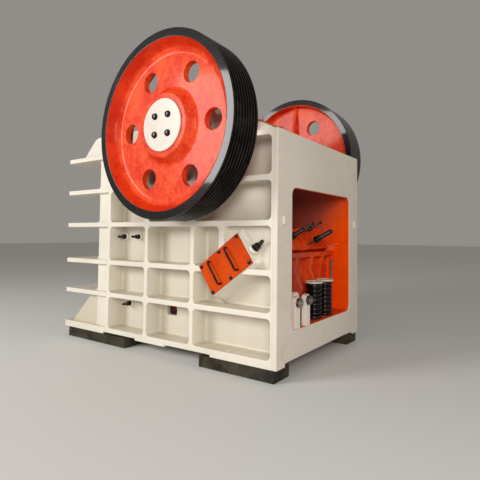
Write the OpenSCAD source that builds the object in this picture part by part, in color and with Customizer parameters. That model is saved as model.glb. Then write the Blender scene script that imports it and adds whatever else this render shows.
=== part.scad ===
// Single-toggle jaw crusher on four low support blocks.
// +X is the rear wall with the service opening, -X the feed side with the shelves.
// -Y is the belt pulley side, +Y the plain flywheel side, +Z is up. Millimetres.
// The local profile plane used below has x = 0 on the rear face and z = 0 under the base.

/* [Frame] */
// Length of the frame from the rear face to the tips of the front shelves
frame_len = 2500; // [2000:10:3200]
// Width of the frame over its outer ribs
frame_w = 1388; // [1200:2:1800]
// Clear width between the side walls
inner_w = 1000; // [800:2:1200]
// Thickness of the side wall behind the ribs
wall_t = 42; // [25:1:80]
// Height of the side walls at the rear
rear_h = 1641; // [1400:1:2000]
// Height of the side walls at the feed mouth
front_h = 1830; // [1650:1:2200]
// How far the upper side wall stands back from the ribs
crest_setback = 54; // [20:1:100]
// Distance from the rear face to the vertical rib before the window
rear_rib_x = 812; // [700:1:1000]
// Distance from the rear face to the middle vertical rib
middle_rib_x = 1345; // [1150:1:1500]
// Distance from the rear face to the short divider beside the window
divider_x = 522; // [480:1:600]
// Thickness of the short divider
divider_t = 48; // [20:1:70]
// Depth of the shallow pocket behind the window
shallow_d = 72; // [30:1:100]
// Height of the lowest shelf
shelf_1_z = 335; // [250:1:420]
// Height of the second shelf
shelf_2_z = 625; // [550:1:700]
// Height of the third shelf
shelf_3_z = 968; // [880:1:1050]
// Height of the fourth shelf
shelf_4_z = 1284; // [1200:1:1380]
// Thickness of the bottom flange
base_t = 60; // [30:1:100]
// Thickness of each rib
rib_t = 42; // [20:1:70]
// Corner radius of the pockets between the ribs
pocket_r = 32; // [10:1:60]
// Relief of the base between its feet
foot_relief = 16; // [0:1:30]
// Distance from the rear face to the front edge of the rear foot
foot_rear_x = 595; // [400:1:700]
// Distance from the rear face to the rear edge of the middle foot
foot_mid_x = 1083; // [900:1:1200]
// Length of the middle foot
foot_mid_l = 364; // [200:1:500]
// Length of the front foot, behind the shelf tips
foot_front_l = 610; // [400:1:800]
// Radius of the anchor holes in the bottom flange
anchor_r = 14; // [8:1:30]
// Distance from the rear face to the rear anchor holes
anchor_rear_x = 459; // [200:1:600]
// Distance from the seam of the front wall to the front anchor holes
anchor_front = 198; // [60:1:300]
// Distance of the anchor holes from the edge of the bottom flange
anchor_edge = 40; // [30:1:80]
// Width of the inspection hole
hand_hole_w = 120; // [60:1:160]
// Height of the inspection hole
hand_hole_h = 76; // [40:1:120]
// Distance from the rear face to the middle of the inspection hole
hand_hole_x = 1165; // [1000:1:1200]
// Height of the middle of the inspection hole
hand_hole_z = 260; // [200:1:280]
// Radius of the liner bolts
liner_bolt_r = 12; // [6:1:20]
// Radius of the bosses of the liner bolts
liner_boss_r = 33; // [20:1:50]

/* [Front wall] */
// Distance from the rear face to the front wall's outer face
front_x = 2035; // [1800:5:2400]
// Thickness of the front wall
front_t = 110; // [60:5:160]
// Distance from the rear face to the joint of front wall and side walls
seam_x = 1862; // [1700:1:2200]
// How far the front wall's ends stand back from the ribs
end_setback = 35; // [0:1:80]
// Thickness of the four corner gussets
gusset_t = 40; // [15:1:70]
// Radius of the fillets where the shelves meet the front wall
shelf_fillet = 36; // [5:1:60]

/* [Rear wall] */
// Thickness of the rear wall
rear_t = 40; // [20:1:80]
// Height of the sill of the rear opening
sill_z = 228; // [150:1:400]
// Height of the top of the rear opening
lintel_z = 1248; // [900:1:1400]
// Corner radius of the rear opening
opening_r = 58; // [10:1:150]

/* [Wheels and shaft] */
// Distance from the rear face to the shaft axis
shaft_x = 786; // [600:1:1000]
// Height of the shaft axis above the base
shaft_z = 1687; // [1500:1:1900]
// Outer radius of both wheels
wheel_r = 683; // [500:1:800]
// Thickness of the rims
rim_t = 61; // [30:1:120]
// Width of the rims
rim_w = 256; // [150:1:350]
// Gap between the seal of a bearing and the rim of its wheel
wheel_gap = 47; // [10:1:120]
// Thickness of the wheel webs
web_t = 50; // [20:1:90]
// How far the pulley's web lies inside the outer face of its rim
web_depth = 92; // [40:1:140]
// How far the flywheel's web lies inside the outer face of its rim
fly_web_depth = 131; // [60:1:150]
// Radial run of the slope from the rim to the web
web_slope = 46; // [10:1:90]
// Thickness of the three ribs behind each web
web_rib_t = 32; // [15:1:60]
// Depth of the ribs behind the web at the hub
web_rib_d = 60; // [20:1:64]
// Depth of the ribs behind the web at the rim
web_rib_end = 16; // [5:1:64]
// Radius of the six holes in each web
web_hole_r = 76; // [30:1:120]
// Radius of the circle that the web holes lie on
web_hole_pcr = 426; // [300:1:500]
// Number of belt grooves in the pulley
grooves = 8; // [4:1:10]
// Depth of each belt groove
groove_d = 19; // [8:1:30]
// Radius of the hub at the web
hub_r = 280; // [150:1:330]
// Radius of the hub's outer ring
hub_ring_r = 233; // [120:1:300]
// How far the hub's outer ring lies inside the outer face of the rim
hub_depth = 28; // [0:1:80]
// Radius of the shaft end cap
cap_r = 192; // [80:1:220]
// Radius of the shaft in the hubs and bearings
shaft_r = 120; // [60:1:180]
// Radius of the shaft inside the swing jaw
eccentric_r = 150; // [80:1:220]
// Radial running clearance of the shaft in its bores
run_clear = 0.06; // [0.02:0.01:0.1]

/* [Bearings] */
// Outer radius of the bearing housings
bearing_r = 255; // [200:1:320]
// Width of the bearing housings
bearing_w = 185; // [120:1:240]
// Radius of the bearing covers
bearing_cover_r = 205; // [150:1:250]
// Thickness of the bearing covers
bearing_cover_t = 34; // [15:1:60]

/* [Jaws] */
// Gap between the jaw plates at the feed mouth
feed_gap = 600; // [450:5:700]
// Gap between the jaw plates at the discharge
discharge_gap = 110; // [65:1:160]
// Thickness of the jaw plates with their teeth
jaw_plate_t = 70; // [45:1:120]
// Height of the teeth on the jaw plates
tooth_h = 24; // [8:1:40]
// Pitch of the teeth
tooth_pitch = 90; // [50:1:140]
// Thickness of the side liners in the crushing chamber
liner_t = 48; // [20:1:70]
// Clearance of the swing jaw from the side liners
jaw_side_gap = 10; // [5:1:30]
// Outer radius of the swing jaw's bearing barrel
barrel_r = 300; // [230:1:360]

/* [Toggle and adjuster] */
// Inclination of the toggle and the adjusting screws
toggle_deg = 35; // [20:1:45]
// Distance from the rear face to the middle of the toggle window
window_x = 450; // [350:1:550]
// Height of the middle of the toggle window
window_z = 687; // [600:1:800]
// Length of the window covers
cover_l = 450; // [300:1:600]
// Width of the window covers
cover_b = 257; // [150:1:300]
// Thickness of the window covers
cover_t = 12; // [6:1:25]
// How far the boss round the window spreads towards the wall
boss_spread = 62; // [10:1:90]
// Distance of the handle bars from the cover
handle_gap = 22; // [10:1:50]
// Radius of the handle bars
handle_r = 8; // [4:0.5:12]
// Thickness of the toggle plate
toggle_t = 56; // [30:1:90]
// Width of the toggle plate
toggle_w = 760; // [400:10:900]
// Clearance of the adjusting block from its guide rails
block_gap = 6; // [2:1:40]
// Width of the recess in the middle of the adjusting block
block_recess = 80; // [20:5:300]
// Inclination of the adjusting screws
screw_deg = 27.5; // [15:0.5:40]

/* [Springs on the sill] */
// Outer radius of the springs
spring_r = 68; // [40:1:80]
// Wire radius of the springs
spring_wire_r = 15; // [4:0.5:18]
// Height of the springs
spring_h = 285; // [150:5:400]
// Number of turns
spring_turns = 8; // [5:1:9]
// Radius of the spring discs
disc_r = 76; // [50:1:90]
// Thickness of the spring discs
disc_t = 16; // [6:1:30]
// Distance of the springs from the rear face
spring_x = 95; // [85:1:130]
// Distance between the two springs
spring_pitch = 192; // [160:1:260]
// Width of the eye plates on the sill
lug_w = 66; // [40:1:80]
// Thickness of the eye plates
lug_t = 40; // [20:1:50]
// Height of the eye plates on the rear edge
lug_h = 234; // [150:1:300]
// Height of the third eye plate
lug_back_h = 250; // [150:1:300]

/* [Support blocks] */
// Height of the support blocks
skid_h = 86; // [40:1:200]
// Length of the front support blocks
skid_front_l = 850; // [500:10:1200]
// Length of the rear support blocks
skid_rear_l = 680; // [400:10:1000]
// How far the front blocks start behind the shelf tips
skid_front_in = 70; // [0:10:200]
// How far the rear blocks start before the rear face
skid_rear_in = 20; // [0:10:200]

/* [Hidden] */
$fn = 72;
half_w = frame_w / 2;
half_in = inner_w / 2;
floor_y = half_in + wall_t;
crest_y = half_w - crest_setback;
end_y = half_w - end_setback;
shelf_z = [shelf_1_z, shelf_2_z, shelf_3_z, shelf_4_z, rear_h - rib_t];
col_x = [seam_x, middle_rib_x, rear_rib_x];
pocket_end = 40;
rim_side = 15;
cream = [0.86, 0.84, 0.76];
orange = [0.85, 0.22, 0.05];
black = [0.06, 0.06, 0.07];
steel = [0.55, 0.55, 0.55];
dark = [0.20, 0.20, 0.19];
mid_x = frame_len / 2;
// Upper edge of the side wall from the rear face to the bearing.
crest_run = 125;
crest_rise = 68;
crest_top_x = 330;
crest_top_rise = 108;
saddle_shoulder = 60;
saddle_rise = 70;
// Corner gussets at the shelf tips and at the top.
gusset_tip = 52;
gusset_shelf_x = 2160;
upper_gusset_x = 2345;
upper_gusset_top_x = 2120;
upper_gusset_corner = 45;
upper_gusset_drop = 18;
tab_w = 26;
tab_h = 62;
tab_z = 975;
tab_y = 611;
tab_t = 14;
rear_foot_w = 110;
rear_foot_h = 26;
bearing_in = half_in;
bearing_out = half_in + bearing_w;
seal_r = 34;
seal_t = 16;
wheel_in = bearing_out + bearing_cover_t + seal_t + wheel_gap;
wheel_out = wheel_in + rim_w;
hub_out = wheel_out - hub_depth;
hub_in = wheel_in + 6;
hub_chamfer = 20;
hub_neck = 30;
web_slope_in = 12;
cap_t = 11;
shaft_end = 6;
housing_h = 60;
housing_crown = 120;
jaw_half = half_in - liner_t - jaw_side_gap;
face_gap = 7;
fixed_face_x = seam_x - face_gap;
fixed_back_x = front_x - front_t;
chamber_z0 = 300;
chamber_z1 = 1760;
plate_drop = 90;
jaw_deg = atan((feed_gap - discharge_gap) / (chamber_z1 - chamber_z0));
face_x0 = fixed_face_x - discharge_gap;
face_x1 = fixed_face_x - feed_gap;
seat = 0.3;
jp_off = jaw_plate_t / cos(jaw_deg);
clamp_h = 40;
beam_back = 280;
beam_web_t = 50;
shelf_top = 762;
shelf_th = 40;
beam_rear = 160;
beam_floor_t = 40;
rib_y_near = 142;
rib_y_far = 104;
rib_y_outer = 300;
rib_thick = 36;
rib_thin = 24;
rib_in_x = 185;
rib_in_z = 622;
rib_out_x = 117;
rib_out_z = 482;
// Adjusting block, its guide rails and its screws. The face point is on its rear face.
rail_w = 46;
block_half = half_in - rail_w - block_gap;
block_len = 110;
block_top = 90;
block_bottom = 115;
block_x = 240;
block_z = 890;
block_front_x = -block_x - block_len * cos(screw_deg);
block_front_z = block_z - block_len * sin(screw_deg);
// End of the toggle plate, where its axis meets the block's front face.
toggle_u1 = ((block_front_x + window_x) * cos(screw_deg) + (block_front_z - window_z) * sin(screw_deg)) / cos(toggle_deg - screw_deg)
    - toggle_t / 2 * tan(abs(toggle_deg - screw_deg)) - seat;
pad_t = 24;
rail_x = 104;
rail_z = 836;
rail_l = 190;
rail_t = 14;
rail_deg = 16;
screw_r = 7;
screw_thick_r = 17;
screw_nut_r = 30;
screw_nut_h = 26;
// Each screw's place across and above the axis, its length, and where its thick part starts and ends.
screws = [[-150, -7, 250, 20, 150], [150, 52, 178, 38, 76], [100, -72, 255, 77, 255]];
toggle_front = 640;
jaw_over = 20;
jaw_back = 130;
jaw_back_z = 1150;
jaw_waist = 70;
jaw_waist_z = 700;
jaw_seat_a = 114;
jaw_seat_a_z = 520;
jaw_seat_b = 144;
jaw_seat_b_z = 400;
jaw_toe = 224;
jaw_toe_z = 245;
jaw_toe_w = 40;
toggle_gap = 5;
toggle_slot = 8;
liner_nut_r = 23;
liner_nut_h = 26;
liner_boss_h = 22;
liner_bolt_end = 98;
liner_bolts_at = [[1778, 881], [1586, 881], [1690, 276]];
lock_x = 229;
lock_z = 797;
lock_out = 38;
lock_deg = 38;
lock_r = 14;
lock_nut_r = 28;
lock_nut_h = 46;
lock_l = 112;
lock_boss_r = 42;
lock_boss_h = 24;
handle_u = [83, -107];
handle_v = 86;
spring_y = 0;
lug_side = 90;
lug_y = -half_in + lug_side;
lug_gap_x = 2;
lug_mid_y = lug_y + 147;
lug_back_y = lug_y + 82;
lug_back_x = 62;
lug_hole = 45;
lug_bolt_r = 15;
washer_r = 37;
washer_t = 8;
lug_bolt_in = 20;
lug_bolt_out = 40;
pipe_r = 11;
pipe_x = 171;
pipe_z0 = 509;
pipe_z1 = 690;
clip_t = 12;

// Moves a shape from the profile plane's frame to the object's frame.
module place() translate([mid_x, 0, skid_h]) children();

// Extrudes an outline drawn in x and z along Y, from y0 to y1.
module slab(y0, y1) translate([0, y1, 0]) rotate([90, 0, 0]) linear_extrude(height = y1 - y0) children();

// Rectangle with round corners.
module rrect(x0, z0, x1, z1, r) {
    translate([x0 + r, z0]) square([x1 - x0 - 2 * r, z1 - z0]);
    translate([x0, z0 + r]) square([x1 - x0, z1 - z0 - 2 * r]);
    for (x = [x0 + r, x1 - r]) for (z = [z0 + r, z1 - r]) translate([x, z]) circle(r);
}

// Cylinder along Y.
module rod_y(x, z, r, y0, y1) translate([x, y1, z]) rotate([90, 0, 0]) cylinder(r = r, h = y1 - y0);

// Mirrors a near-side shape to the far side.
module far() mirror([0, 1, 0]) children();

// Frame of the toggle: u runs up and back along its axis, v across it.
module toggle_axis() translate([-window_x, 0, window_z]) rotate([0, -toggle_deg, 0]) children();

// Side wall on the pulley side, with its grid of outer ribs.
module side_profile() difference() {
    polygon([[-seam_x, 0], [-rear_t, 0], [-rear_t, rear_h], [-rear_t - crest_run, rear_h + crest_rise],
             [-crest_top_x, rear_h + crest_top_rise], [-shaft_x + bearing_r + saddle_shoulder, shaft_z + saddle_rise],
             [-shaft_x - bearing_r - saddle_shoulder, shaft_z + saddle_rise],
             [-shaft_x - bearing_r - 2 * saddle_shoulder, front_h], [-seam_x, front_h]]);
    translate([-shaft_x, shaft_z]) circle(bearing_r);
    translate([-shaft_x - bearing_r, shaft_z]) square([2 * bearing_r, front_h - shaft_z + saddle_rise]);
}

module window_outline(grow) rrect(-cover_l / 2 - grow, -cover_b / 2 - grow, cover_l / 2 + grow, cover_b / 2 + grow, 12);

// Boss round the toggle window: flush with the ribs, wider at the wall.
module boss_slope(l, b) rotate([90, 0, 0]) linear_extrude(height = b, center = true)
    polygon([[-l / 2 - boss_spread, half_in + 1], [l / 2 + boss_spread, half_in + 1], [l / 2 + boss_spread, floor_y],
             [l / 2, half_w], [-l / 2, half_w], [-l / 2 - boss_spread, floor_y]]);

module window_boss() toggle_axis() rotate([90, 0, 0]) intersection() {
    boss_slope(cover_l, cover_b + 2 * boss_spread);
    rotate([0, 0, 90]) boss_slope(cover_b, cover_l + 2 * boss_spread);
}

module side_wall() color(cream) place() difference() {
    union() {
        difference() {
            union() {
                slab(-crest_y, -half_in) side_profile();
                slab(-half_w, -half_in) intersection() {
                    side_profile();
                    translate([-seam_x, 0]) square([seam_x, rear_h]);
                }
            }
            // Pockets between the ribs, row by row and column by column.
            for (r = [0 : 4]) {
                z0 = r == 0 ? base_t : shelf_z[r - 1] + rib_t;
                z1 = shelf_z[r];
                for (c = [0 : 2]) {
                    x0 = -col_x[c] + pocket_end;
                    x1 = c == 2 ? -rear_t - rim_side : -col_x[c + 1];
                    if (r == 2 && c == 2) {
                        slab(-half_w - 1, -floor_y) rrect(x0, z0, -divider_x, z1, pocket_r);
                        slab(-half_w - 1, -half_w + shallow_d) rrect(-divider_x + divider_t, z0, x1, z1, pocket_r);
                    } else slab(-half_w - 1, -floor_y) rrect(x0, z0, x1, z1, pocket_r);
                }
            }
        }
        window_boss();
        for (b = liner_bolts_at) rod_y(-b[0], b[1], liner_boss_r, -floor_y - liner_boss_h, -floor_y + 1);
        // Boss of the lock bolt, with its axis along the bolt.
        lock_axis() cylinder(r = lock_boss_r, h = lock_boss_h);
    }
    // Relief under the base between its feet.
    for (s = [[-seam_x - 1, -foot_mid_x - foot_mid_l], [-foot_mid_x, -foot_rear_x]])
        translate([s[0], -half_w - 1, -1]) cube([s[1] - s[0], frame_w, foot_relief + 1]);
    // Inspection hole into the chamber.
    slab(-half_w - 1, -half_in + 1) rrect(-hand_hole_x - hand_hole_w / 2, hand_hole_z - hand_hole_h / 2,
                                      -hand_hole_x + hand_hole_w / 2, hand_hole_z + hand_hole_h / 2, 18);
    // Window for the toggle, and the holes of the liner bolts and the anchor.
    toggle_axis() translate([0, -half_in + 1, 0]) rotate([90, 0, 0]) linear_extrude(height = half_w - half_in + 2) window_outline(-38);
    for (b = liner_bolts_at) rod_y(-b[0], b[1], liner_bolt_r + 1, -half_w, -half_in + 1);
    translate([-anchor_rear_x, -half_w + anchor_edge, -1]) cylinder(r = anchor_r, h = base_t + 2);
}

module side_wall_near() side_wall();
module side_wall_far() far() side_wall();

// Concave fillet in the corner at a, towards the quadrant sx, sz.
module fillet2(x, z, sx, sz, r) translate([x, z]) difference() {
    translate([sx > 0 ? 0 : -r, sz > 0 ? 0 : -r]) square([r, r]);
    translate([sx * r, sz * r]) circle(r);
}

module front_outline() {
    translate([-front_x, 0]) square([front_t, front_h]);
    for (z = shelf_z) {
        translate([-frame_len, z]) square([frame_len - front_x, rib_t]);
        fillet2(-front_x, z + rib_t, -1, 1, shelf_fillet);
        fillet2(-front_x, z, -1, -1, shelf_fillet);
    }
    translate([-frame_len, 0]) square([frame_len - front_x, base_t]);
    fillet2(-front_x, base_t, -1, 1, shelf_fillet);
}

// Front wall with its shelves, corner gussets and end blocks.
module front_wall() color(cream) place() difference() {
    union() {
        slab(-end_y, end_y) front_outline();
        for (s = [-1, 1]) {
            // End blocks that carry the side walls.
            translate([-front_x, s > 0 ? half_in : -end_y, 0]) cube([front_x - seam_x, end_y - half_in, rear_h]);
            translate([-front_x, s > 0 ? half_in : -crest_y, 0]) cube([front_x - seam_x, crest_y - half_in, front_h]);
            // Shelf and foot ends out to the line of the ribs.
            for (z = shelf_z) translate([-frame_len, s > 0 ? end_y - 1 : -half_w, z]) cube([frame_len - seam_x, end_setback + 1, rib_t]);
            translate([-frame_len, s > 0 ? end_y - 1 : -half_w, 0]) cube([frame_len - seam_x, end_setback + 1, base_t]);
            // Corner gussets under the lowest shelf and over the top shelf.
            slab(s > 0 ? crest_y - gusset_t : -crest_y, s > 0 ? crest_y : -crest_y + gusset_t) {
                polygon([[-frame_len + gusset_tip, base_t], [-front_x, base_t], [-front_x, shelf_z[0]], [-gusset_shelf_x, shelf_z[0]]]);
                polygon([[-upper_gusset_x, rear_h], [-front_x, rear_h], [-front_x, front_h], [-upper_gusset_top_x, front_h],
                         [-upper_gusset_top_x - upper_gusset_corner, front_h - upper_gusset_drop]]);
            }
        }
    }
    for (s = [-1, 1]) translate([-seam_x - anchor_front, s * (half_w - anchor_edge), -1]) cylinder(r = anchor_r, h = base_t + 2);
    translate([-frame_len + foot_front_l, -half_w - 1, -1]) cube([frame_len - foot_front_l - seam_x + 1, frame_w + 2, foot_relief + 1]);
}

// Rear wall with the service opening and its small side tabs.
module rear_wall() color(cream) place() {
    difference() {
        translate([-rear_t, -half_w, 0]) cube([rear_t, frame_w, rear_h]);
        translate([1, 0, 0]) rotate([90, 0, -90]) linear_extrude(height = rear_t + 2) rrect(-half_in, sill_z, half_in, lintel_z, opening_r);
        translate([-rear_t - 1, -half_w + rear_foot_w, -1]) cube([rear_t + 2, frame_w - 2 * rear_foot_w, rear_foot_h + 1]);
    }
    for (y = [-tab_y, tab_y]) translate([-1, y - tab_w / 2, tab_z]) cube([tab_t + 1, tab_w, tab_h]);
}

// Bearing housing bolted into the saddle of the side wall.
module bearing_housing() color(cream) place() difference() {
    union() {
        rod_y(-shaft_x, shaft_z, bearing_r - seat, -bearing_out, -bearing_in);
        slab(-bearing_out, -bearing_in) {
            translate([-shaft_x - bearing_r - saddle_shoulder, shaft_z + saddle_rise + seat])
                square([2 * (bearing_r + saddle_shoulder), housing_h]);
            translate([-shaft_x - bearing_r + seat, shaft_z]) square([2 * (bearing_r - seat), housing_crown]);
        }
    }
    rod_y(-shaft_x, shaft_z, shaft_r + run_clear, -bearing_out - 1, -bearing_in + 1);
}

module bearing_housing_near() bearing_housing();
module bearing_housing_far() far() bearing_housing();

// Cover ring on the outer face of a bearing housing.
module bearing_cover() color(cream) place() difference() {
    union() {
        rod_y(-shaft_x, shaft_z, bearing_cover_r, -bearing_out - bearing_cover_t, -bearing_out);
        rod_y(-shaft_x, shaft_z, shaft_r + seal_r, -bearing_out - bearing_cover_t - seal_t, -bearing_out);
    }
    rod_y(-shaft_x, shaft_z, shaft_r + 1, -bearing_out - 2 * bearing_cover_t, -bearing_out + 1);
}

module bearing_cover_near() bearing_cover();
module bearing_cover_far() far() bearing_cover();

// Teeth across the width of a jaw plate, seen along the plate: a is depth, b is width.
module teeth_outline(w) {
    n = floor((w - tooth_pitch / 2) / tooth_pitch);
    translate([0, -w / 2]) square([jaw_plate_t - tooth_h, w]);
    for (i = [0 : n - 1]) translate([jaw_plate_t - tooth_h - 1, (i - (n - 1) / 2) * tooth_pitch])
        polygon([[0, -tooth_pitch * 0.42], [tooth_h + 1, -tooth_pitch * 0.16], [tooth_h + 1, tooth_pitch * 0.16], [0, tooth_pitch * 0.42]]);
}

module fixed_jaw_plate() color(steel) place() translate([-fixed_back_x, 0, chamber_z0 - plate_drop])
    linear_extrude(height = chamber_z1 - chamber_z0 + plate_drop) teeth_outline(2 * (half_in - liner_t) - 4);

// Liner bolted to the inside of a side wall beside the chamber.
module side_liner() color(steel) place() slab(-half_in, -half_in + liner_t)
    polygon([[-fixed_back_x + 1, chamber_z0 - plate_drop], [-face_x0 + 60, chamber_z0 - plate_drop], [-face_x1 + 90, chamber_z1], [-fixed_back_x + 1, chamber_z1]]);

module side_liner_near() side_liner();
module side_liner_far() far() side_liner();

// Rear cross beam with its shelf, ribs and floor.
module toggle_beam() color(orange) place() {
    slab(-half_in, half_in) {
        translate([-beam_back, sill_z - beam_floor_t]) square([beam_web_t, shelf_top - sill_z + beam_floor_t]);
        translate([-beam_back, shelf_top - shelf_th]) square([beam_back - beam_rear, shelf_th]);
        translate([-beam_back, sill_z - beam_floor_t]) square([beam_back - rear_t, beam_floor_t]);
    }
    for (y = [-rib_y_near, rib_y_far]) slab(y - rib_thick / 2, y + rib_thick / 2)
        polygon([[-beam_back + beam_web_t, shelf_top - shelf_th], [-beam_rear, shelf_top - shelf_th], [-rib_in_x, rib_in_z],
                 [-rib_out_x, rib_out_z], [-beam_back + beam_web_t, sill_z]]);
    for (y = [-rib_y_outer, rib_y_outer]) slab(y - rib_thin / 2, y + rib_thin / 2)
        polygon([[-beam_back + beam_web_t, shelf_top - shelf_th], [-beam_rear, shelf_top - shelf_th], [-rib_in_x, rib_in_z],
                 [-beam_back + beam_web_t, sill_z]]);
}

// Guide rails of the block on both side walls, each on a gusset over the shelf.
module block_rails() color(orange) place() for (s = [-1, 1]) {
    slab(s > 0 ? half_in - rail_w : -half_in, s > 0 ? half_in : -half_in + rail_w)
        translate([-rail_x, rail_z]) rotate(rail_deg) translate([-rail_l, -rail_t]) square([rail_l, rail_t]);
    slab(s > 0 ? half_in - rib_thin : -half_in, s > 0 ? half_in : -half_in + rib_thin)
        polygon([[-rail_x - rail_l * 0.9, shelf_top], [-beam_rear, shelf_top], [-rail_x - 2 * rail_t, rail_z - 1.3 * rail_t],
                 [-rail_x - rail_l * 0.9, rail_z - rail_l * 0.9 * tan(rail_deg) - rail_t / 2]]);
}

// Frame of the adjusting screws: u runs up and back along them, from the block's rear face.
module screw_axis() translate([-block_x, 0, block_z]) rotate([0, -screw_deg, 0]) children();

// Block that the toggle seats in, with a raised pad on each half of its rear face.
module adjusting_block() color(orange) place() difference() {
    screw_axis() {
        translate([-block_len, -block_half, -block_bottom]) cube([block_len - pad_t, 2 * block_half, block_bottom + block_top]);
        for (y = [-block_half, block_recess / 2])
            translate([-pad_t - 1, y, -block_bottom]) cube([pad_t + 1, block_half - block_recess / 2, block_bottom + block_top]);
    }
    // Flat underside that rests on the beam's shelf.
    slab(-half_in, half_in) translate([-window_x, shelf_top - shelf_th]) square([window_x, shelf_th]);
}

// Screws that push the block, with nuts.
module screw(y, v, u1, thick0, thick1) translate([0, y, v]) rotate([0, 90, 0]) {
    cylinder(r = screw_r, h = u1);
    translate([0, 0, thick0]) cylinder(r = screw_thick_r, h = thick1 - thick0);
    translate([0, 0, thick0]) cylinder(r = screw_nut_r, h = screw_nut_h, $fn = 6);
}

module adjusting_screws() color(black) place() screw_axis() {
    for (b = screws) screw(b[0], b[1], b[2], b[3], b[4]);
}

module toggle_plate() color(dark) place() toggle_axis()
    translate([-toggle_front, -toggle_w / 2, -toggle_t / 2]) cube([toggle_front + toggle_u1, toggle_w, toggle_t]);

// Swing jaw: bearing barrel, tapering body and toe with the toggle seat.
module swing_outline()
    polygon([[-face_x0 + jp_off + (chamber_z1 + jaw_over - chamber_z0) * tan(jaw_deg), chamber_z1 + jaw_over],
             [-shaft_x - barrel_r / 5, shaft_z + barrel_r - jaw_over / 2], [-shaft_x + barrel_r - jaw_over, shaft_z - 0.3 * barrel_r],
             [-shaft_x + jaw_back, jaw_back_z], [-shaft_x - jaw_waist, jaw_waist_z], [-shaft_x - jaw_seat_a, jaw_seat_a_z],
             [-shaft_x - jaw_seat_b, jaw_seat_b_z], [-shaft_x - jaw_toe, jaw_toe_z], [-face_x0 + jp_off + jaw_toe_w, jaw_toe_z],
             [-face_x0 + jp_off, chamber_z0]]);

module swing_jaw() color(orange) place() difference() {
    union() {
        rod_y(-shaft_x, shaft_z, barrel_r, -jaw_half, jaw_half);
        slab(-jaw_half, jaw_half) swing_outline();
    }
    rod_y(-shaft_x, shaft_z, eccentric_r + run_clear, -jaw_half - 1, jaw_half + 1);
    toggle_axis() translate([-toggle_front - seat, -toggle_w / 2 - toggle_gap, -toggle_t / 2 - toggle_slot])
        cube([toggle_front, toggle_w + 2 * toggle_gap, toggle_t + 2 * toggle_slot]);
}

// Jaw plate on the swing jaw's inclined face.
module swing_jaw_plate() color(steel) place()
    translate([-face_x0 + jp_off - seat, 0, chamber_z0]) rotate([0, jaw_deg, 0]) mirror([1, 0, 0])
        linear_extrude(height = (chamber_z1 - chamber_z0) / cos(jaw_deg) - clamp_h) teeth_outline(2 * jaw_half);

module jaw_plate_clamp() color(steel) place()
    translate([-face_x0 + jp_off - seat, -jaw_half, chamber_z0]) rotate([0, jaw_deg, 0])
        translate([-jaw_plate_t, 0, (chamber_z1 - chamber_z0) / cos(jaw_deg) - clamp_h + seat]) cube([jaw_plate_t, 2 * jaw_half, clamp_h]);

// Cover plate over the toggle window.
module window_cover() color(orange) place() toggle_axis()
    translate([0, -half_w, 0]) rotate([90, 0, 0]) linear_extrude(height = cover_t) rrect(-cover_l / 2, -cover_b / 2, cover_l / 2, cover_b / 2, 8);

module window_cover_near() window_cover();
module window_cover_far() far() window_cover();

// Two bar handles across a window cover.
module handles() color(black) place() toggle_axis() for (u = handle_u) {
    for (v = [-handle_v, handle_v]) translate([u, -half_w - cover_t, v]) rotate([90, 0, 0]) cylinder(r = handle_r - 1, h = handle_gap + handle_r);
    translate([u, -half_w - cover_t - handle_gap - handle_r, -handle_v - 2 * handle_r]) cylinder(r = handle_r, h = 2 * (handle_v + 2 * handle_r));
}

module cover_handles_near() handles();
module cover_handles_far() far() handles();

// Studs and nuts that hold the side liners.
module liner_bolts() color(black) place() for (b = liner_bolts_at) {
    rod_y(-b[0], b[1], liner_bolt_r, -floor_y - liner_bolt_end, -half_in);
    translate([-b[0], -floor_y - liner_boss_h, b[1]]) rotate([90, 0, 0]) cylinder(r = liner_nut_r, h = liner_nut_h, $fn = 6);
}

module liner_bolts_near() liner_bolts();
module liner_bolts_far() far() liner_bolts();

// Axis of the lock bolt beside the window cover, from the back of its boss.
module lock_axis() translate([-lock_x, -half_w + shallow_d - lock_out, lock_z]) rotate([0, 90 - lock_deg, 0]) children();

// Inclined lock bolt on its boss.
module lock_bolt() color(black) place() lock_axis() translate([0, 0, lock_boss_h]) {
    cylinder(r = lock_r, h = lock_l - lock_boss_h);
    rotate([0, 0, 30]) cylinder(r = lock_nut_r, h = lock_nut_h, $fn = 6);
}

module lock_bolt_near() lock_bolt();
module lock_bolt_far() far() lock_bolt();

// Coil spring as a closed stack of round turns.
module spring(x, y) color(black) place() translate([x, y, sill_z]) rotate_extrude() {
    step = (spring_h - 2 * spring_wire_r) / (spring_turns - 1);
    for (i = [0 : spring_turns - 1]) translate([spring_r - spring_wire_r, spring_wire_r + i * step]) circle(spring_wire_r, $fn = 24);
    translate([spring_r - spring_wire_r - 3, spring_wire_r]) square([6, spring_h - 2 * spring_wire_r]);
}

module disc(x, y) color(cream) place() translate([x, y, sill_z + spring_h]) cylinder(r = disc_r, h = disc_t);

module spring_front() spring(-spring_x, spring_y);
module spring_back() spring(-spring_x, spring_y + spring_pitch);
module spring_disc_front() disc(-spring_x, spring_y);
module spring_disc_back() disc(-spring_x, spring_y + spring_pitch);

// Upright eye plate on the sill, with its rear face at x.
module lug(x, y, h) translate([-x - lug_t, y, sill_z]) rotate([90, 0, 90]) linear_extrude(height = lug_t) difference() {
    union() {
        translate([-lug_w / 2, 0]) square([lug_w, h - lug_w / 2]);
        translate([0, h - lug_w / 2]) circle(lug_w / 2);
    }
    translate([0, h - lug_hole]) circle(lug_bolt_r);
}

module sill_lugs() color(cream) place() {
    lug(lug_gap_x, lug_y, lug_h);
    lug(lug_gap_x, lug_mid_y, lug_h);
    lug(lug_back_x, lug_back_y, lug_back_h);
}

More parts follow.
